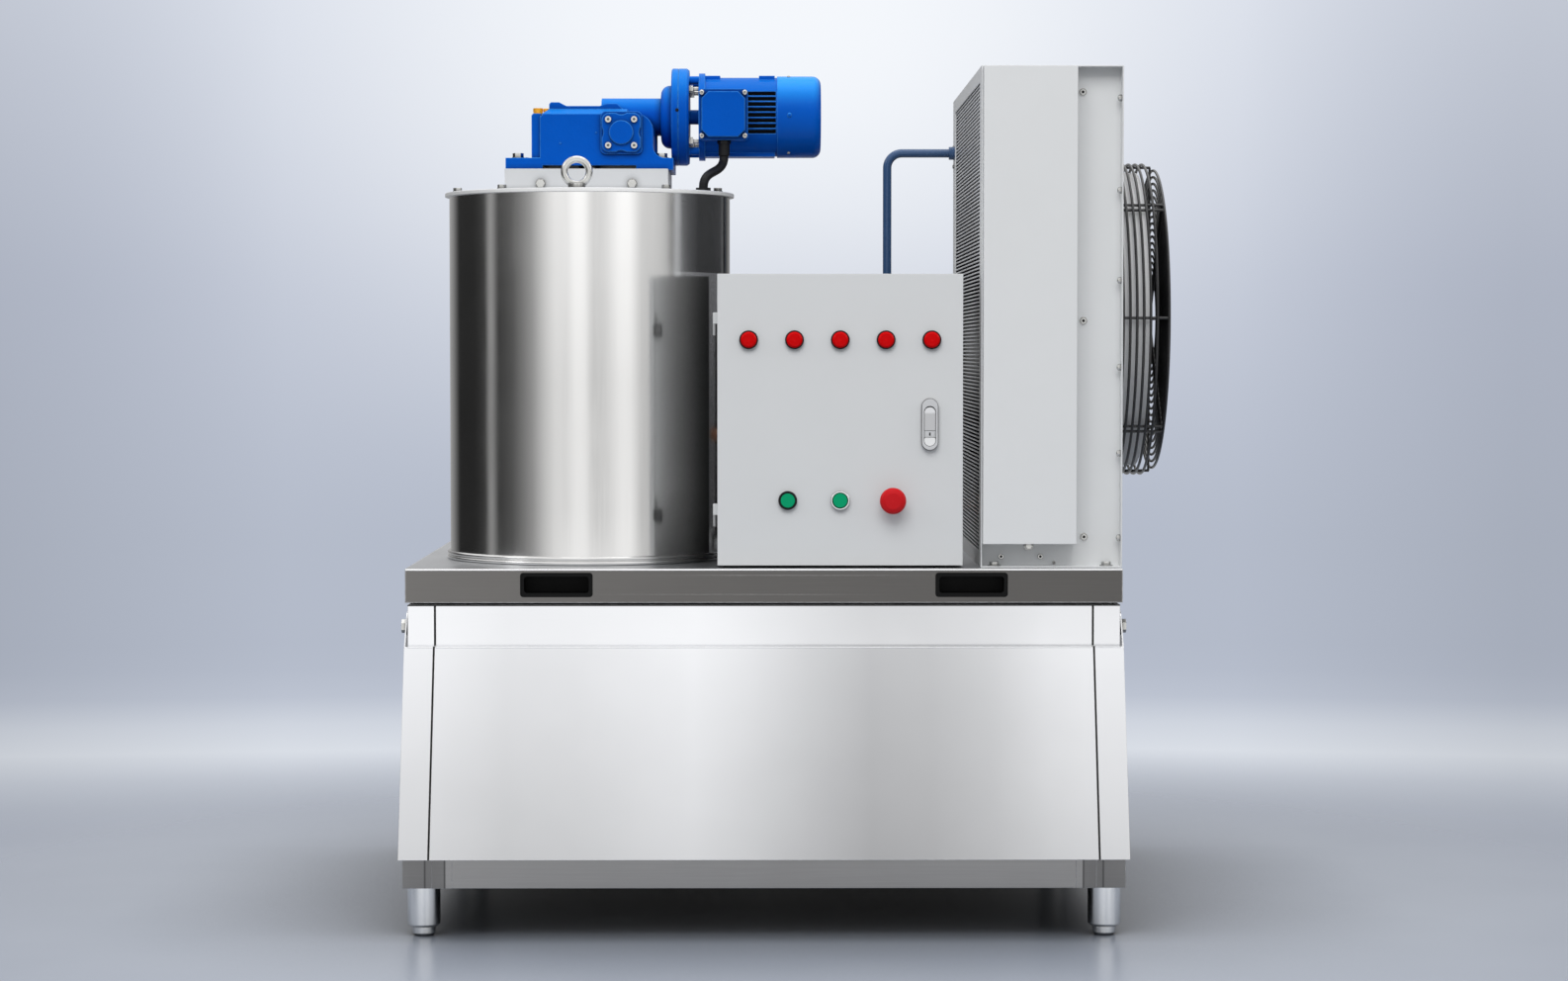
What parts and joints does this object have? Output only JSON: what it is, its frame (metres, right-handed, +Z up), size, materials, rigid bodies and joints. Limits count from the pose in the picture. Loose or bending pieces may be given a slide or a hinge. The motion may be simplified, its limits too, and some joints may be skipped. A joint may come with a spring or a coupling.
{
  "type": "flake ice machine",
  "caption": "Flake ice machine: insulated bin with lift-up hood, deck with ice drum and worm gear motor, air-cooled condenser and control box.",
  "frame": {"origin": "on the floor under the middle of the machine's box", "axes": "+Z up, +Y to the back, +X to the condenser side as seen from the front"},
  "size_m": [1.2228, 0.9832, 1.3665],
  "materials": {
    "brushed_stainless": "vertical brushed stainless sheet",
    "deck_stainless": "brushed stainless, darker",
    "tub_plastic": "moulded white plastic",
    "seal_rubber": "soft black rubber",
    "zinc_plated": "zinc plated steel",
    "black_plastic": "moulded black plastic",
    "drum_foam": "rigid foam",
    "machined_steel": "turned steel",
    "scraper_stainless": "stainless",
    "grey_paint": "light grey powder coat",
    "blue_paint": "bright blue gloss paint",
    "breather_orange": "orange plastic",
    "wheel_bronze": "bronze",
    "fin_aluminium": "aluminium fins",
    "ring_white": "white paint",
    "guard_black": "black coated wire",
    "fan_black": "black paint",
    "pipe_blue": "dark blue pipe insulation lacquer",
    "copper_pipe": "copper tube",
    "tank_plastic": "moulded polyethylene",
    "lamp_red": "red moulded lens",
    "button_green": "green moulded plastic",
    "stop_red": "red moulded plastic",
    "latch_chrome": "satin chrome",
    "latch_white": "white plastic"
  },
  "bodies": {
    "machine": {"base_frame": "deck_stainless", "feet": "deck_stainless", "bin_shell": "brushed_stainless", "bin_tub": "tub_plastic", "deck_seal": "seal_rubber", "pivot_bolts": "zinc_plated", "deck": "deck_stainless", "recessed_handles": "black_plastic", "drum_jacket": "brushed_stainless", "drum_insulation": "drum_foam", "freezing_wall": "machined_steel", "drum_base_ring": "brushed_stainless", "drum_lid": "brushed_stainless", "bearing_spider": "machined_steel", "eye_bolts": "zinc_plated", "hex_bolts": "zinc_plated", "gearbox_pedestal": "grey_paint", "gear_housing": "blue_paint", "bearing_cover": "blue_paint", "breather_plug": "breather_orange", "motor_adapter": "blue_paint", "motor_frame": "blue_paint", "terminal_box": "blue_paint", "fan_cowl": "blue_paint", "conduit": "black_plastic", "conduit_glands": "black_plastic", "condenser_casing": "grey_paint", "condenser_cover": "grey_paint", "condenser_coil": "fin_aluminium", "fan_ring": "ring_white", "fan_guard": "guard_black", "fan_motor": "fan_black", "hot_gas_pipe": "pipe_blue", "compressor": "fan_black", "liquid_receiver": "fan_black", "pipework": "copper_pipe", "water_tank": "tank_plastic", "control_box": "grey_paint", "door_hinges": "grey_paint", "mounting_plate": "zinc_plated"},
    "hood": {"hood_panel": "brushed_stainless", "hood_cheeks": "brushed_stainless", "hood_inner_panel": "brushed_stainless", "hood_seal": "seal_rubber"},
    "scraper": {"spindle": "machined_steel", "ice_scraper": "scraper_stainless", "water_spreader": "scraper_stainless", "worm_wheel": "wheel_bronze"},
    "cross": {"cross_shaft": "machined_steel"},
    "rotor": {"motor_rotor": "machined_steel"},
    "fan": {"fan_blades": "fan_black"},
    "door": {"control_door": "grey_paint", "lamp_lenses": "lamp_red", "pilot_bezels": "black_plastic", "latch_body": "latch_chrome"},
    "start": {"start_button": "button_green"},
    "reset": {"reset_button": "button_green"},
    "stop": {"stop_button": "stop_red"},
    "lever": {"latch_lever": "latch_chrome"},
    "latch_push": {"latch_button": "latch_white"}
  },
  "joints": [
    {"name": "hood_lift", "type": "hinge", "parent": "machine", "child": "hood", "pos_m": [-0.0426, -0.33336, 0.468], "axis": [-1, 0, 0], "range_deg": [0, 65]},
    {"name": "scraper_spin", "type": "hinge", "parent": "machine", "child": "scraper", "pos_m": [-0.3286, -0.05858, 0.56], "axis": [0, 0, 1], "continuous": true},
    {"name": "cross_spin", "type": "hinge", "parent": "machine", "child": "cross", "pos_m": [-0.2736, -0.05858, 1.253], "axis": [0, 1, 0], "continuous": true},
    {"name": "rotor_spin", "type": "hinge", "parent": "machine", "child": "rotor", "pos_m": [-0.2736, -0.00857, 1.2865], "axis": [1, 0, 0], "continuous": true},
    {"name": "fan_spin", "type": "hinge", "parent": "machine", "child": "fan", "pos_m": [0.5194, 0.05164, 0.9525], "axis": [1, 0, 0], "continuous": true},
    {"name": "door_swing", "type": "hinge", "parent": "machine", "child": "door", "pos_m": [-0.1194, -0.32536, 0.564], "axis": [0, 0, -1], "range_deg": [0, 110]},
    {"name": "start_push", "type": "slide", "parent": "door", "child": "start", "axis": [0, 1, 0], "range_m": [0, 0.004], "stiffness_N_per_m": 400},
    {"name": "reset_push", "type": "slide", "parent": "door", "child": "reset", "axis": [0, 1, 0], "range_m": [0, 0.004], "stiffness_N_per_m": 400},
    {"name": "stop_push", "type": "slide", "parent": "door", "child": "stop", "axis": [0, 1, 0], "range_m": [0, 0.004], "stiffness_N_per_m": 800},
    {"name": "lever_flip", "type": "hinge", "parent": "door", "child": "lever", "pos_m": [0.2164, -0.35446, 0.8088], "axis": [-1, 0, 0], "range_deg": [0, 45]},
    {"name": "latch_press", "type": "slide", "parent": "door", "child": "latch_push", "axis": [0, 1, 0], "range_m": [0, 0.003], "stiffness_N_per_m": 400}
  ],
  "couplings": [
    {"joint": "cross_spin", "follows": "scraper_spin", "ratio": 15},
    {"joint": "rotor_spin", "follows": "scraper_spin", "ratio": 60}
  ]
}
